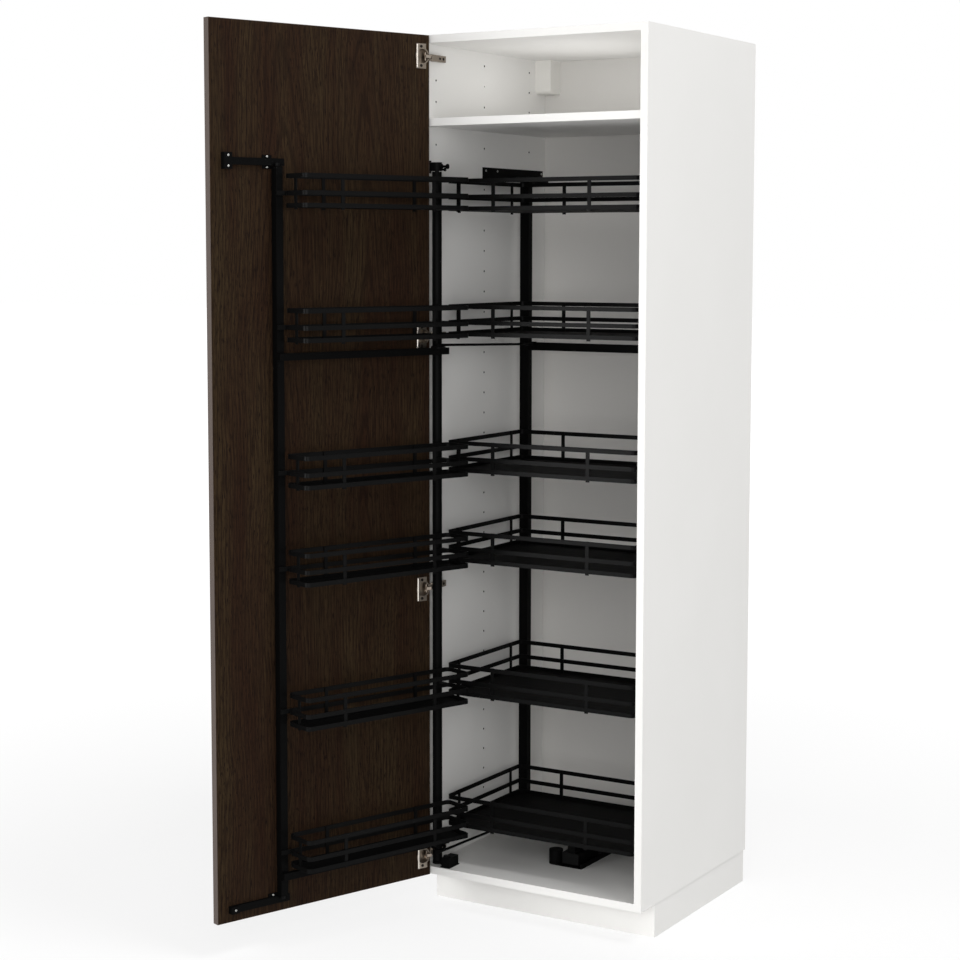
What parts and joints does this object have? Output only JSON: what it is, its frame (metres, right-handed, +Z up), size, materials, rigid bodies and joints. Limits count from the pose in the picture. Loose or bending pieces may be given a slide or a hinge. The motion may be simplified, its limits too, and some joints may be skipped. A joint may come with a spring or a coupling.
{
  "type": "kitchen larder cabinet",
  "caption": "Tall kitchen larder cabinet: hinged wood-grain door with baskets on a swing frame that draws inner baskets forward, white carcase on a plinth",
  "frame": {"origin": "on the floor, under the middle of the plinth front board", "axes": "+X to the right seen from the front, +Y into the cabinet, +Z up"},
  "size_m": [0.7816, 1.1511, 2.08],
  "materials": {
    "white_board": "white melamine-faced chipboard, satin",
    "back_sheet": "white-lacquered hardboard",
    "plinth_board": "white foil-faced board",
    "brown_wood": "dark brown wood-grain melamine, matt",
    "door_edging": "brown edge band, matt",
    "black_steel": "black powder coat",
    "basket_steel": "anthracite powder coat",
    "nickel_steel": "nickel plate",
    "black_plastic": "black moulded plastic",
    "white_plastic": "white moulded plastic"
  },
  "bodies": {
    "carcase": {"side_panel_left": "white_board", "side_panel_right": "white_board", "top_panel": "white_board", "bottom_panel": "white_board", "back_panel": "back_sheet", "fixed_shelf": "white_board", "suspension_housings": "white_plastic", "leg_bodies": "black_plastic", "leg_feet": "black_plastic", "plinth_front": "plinth_board", "plinth_left": "plinth_board", "plinth_right": "plinth_board", "plinth_clips": "black_plastic", "hinge_plates": "nickel_steel", "hinge_arms": "nickel_steel", "pivot_bracket_top": "black_steel", "pivot_bracket_bottom": "black_steel", "wall_guide_left": "black_steel", "wall_guide_right": "black_steel", "floor_rail": "black_steel"},
    "hinge_links": {"hinge_links": "nickel_steel"},
    "door": {"door_panel": "brown_wood", "door_edging": "door_edging", "hinge_cups": "nickel_steel", "door_rail_top": "black_steel", "door_rail_bottom": "black_steel"},
    "swing_frame": {"pivot_post": "black_steel", "free_post": "black_steel", "post_rollers": "black_plastic", "swing_bars": "black_steel", "drive_levers": "black_steel", "door_basket_clips": "black_plastic", "door_basket_1": "basket_steel", "door_basket_2": "basket_steel", "door_basket_3": "basket_steel", "door_basket_4": "basket_steel", "door_basket_5": "basket_steel", "door_basket_6": "basket_steel"},
    "inner_frame": {"inner_post_left": "black_steel", "inner_post_right": "black_steel", "inner_bars": "black_steel", "inner_basket_hooks": "black_plastic", "inner_hangers": "black_plastic", "link_rods": "black_steel", "floor_carriage": "black_plastic", "inner_basket_1": "basket_steel", "inner_basket_2": "basket_steel", "inner_basket_3": "basket_steel", "inner_basket_4": "basket_steel", "inner_basket_5": "basket_steel", "inner_basket_6": "basket_steel"}
  },
  "joints": [
    {"name": "hinge_swing", "type": "hinge", "parent": "carcase", "child": "hinge_links", "pos_m": [-0.2725, -0.0732, 1], "axis": [0, 0, 1], "range_deg": [-55.45, 0]},
    {"name": "door_swing", "type": "hinge", "parent": "hinge_links", "child": "door", "pos_m": [-0.26989, -0.0976, 1], "axis": [0, 0, 1], "range_deg": [0, 165.15]},
    {"name": "frame_swing", "type": "hinge", "parent": "carcase", "child": "swing_frame", "pos_m": [-0.256, -0.0705, 1], "axis": [0, 0, 1], "range_deg": [0, 107.85]},
    {"name": "inner_slide", "type": "slide", "parent": "carcase", "child": "inner_frame", "axis": [0, 1, 0], "range_m": [0, 0.1099]}
  ],
  "couplings": [
    {"joint": "door_swing", "follows": "frame_swing", "ratio": 1.5309},
    {"joint": "hinge_swing", "follows": "frame_swing", "ratio": -0.5137},
    {"joint": "inner_slide", "follows": "frame_swing", "m_per_rad": 0.058334}
  ]
}
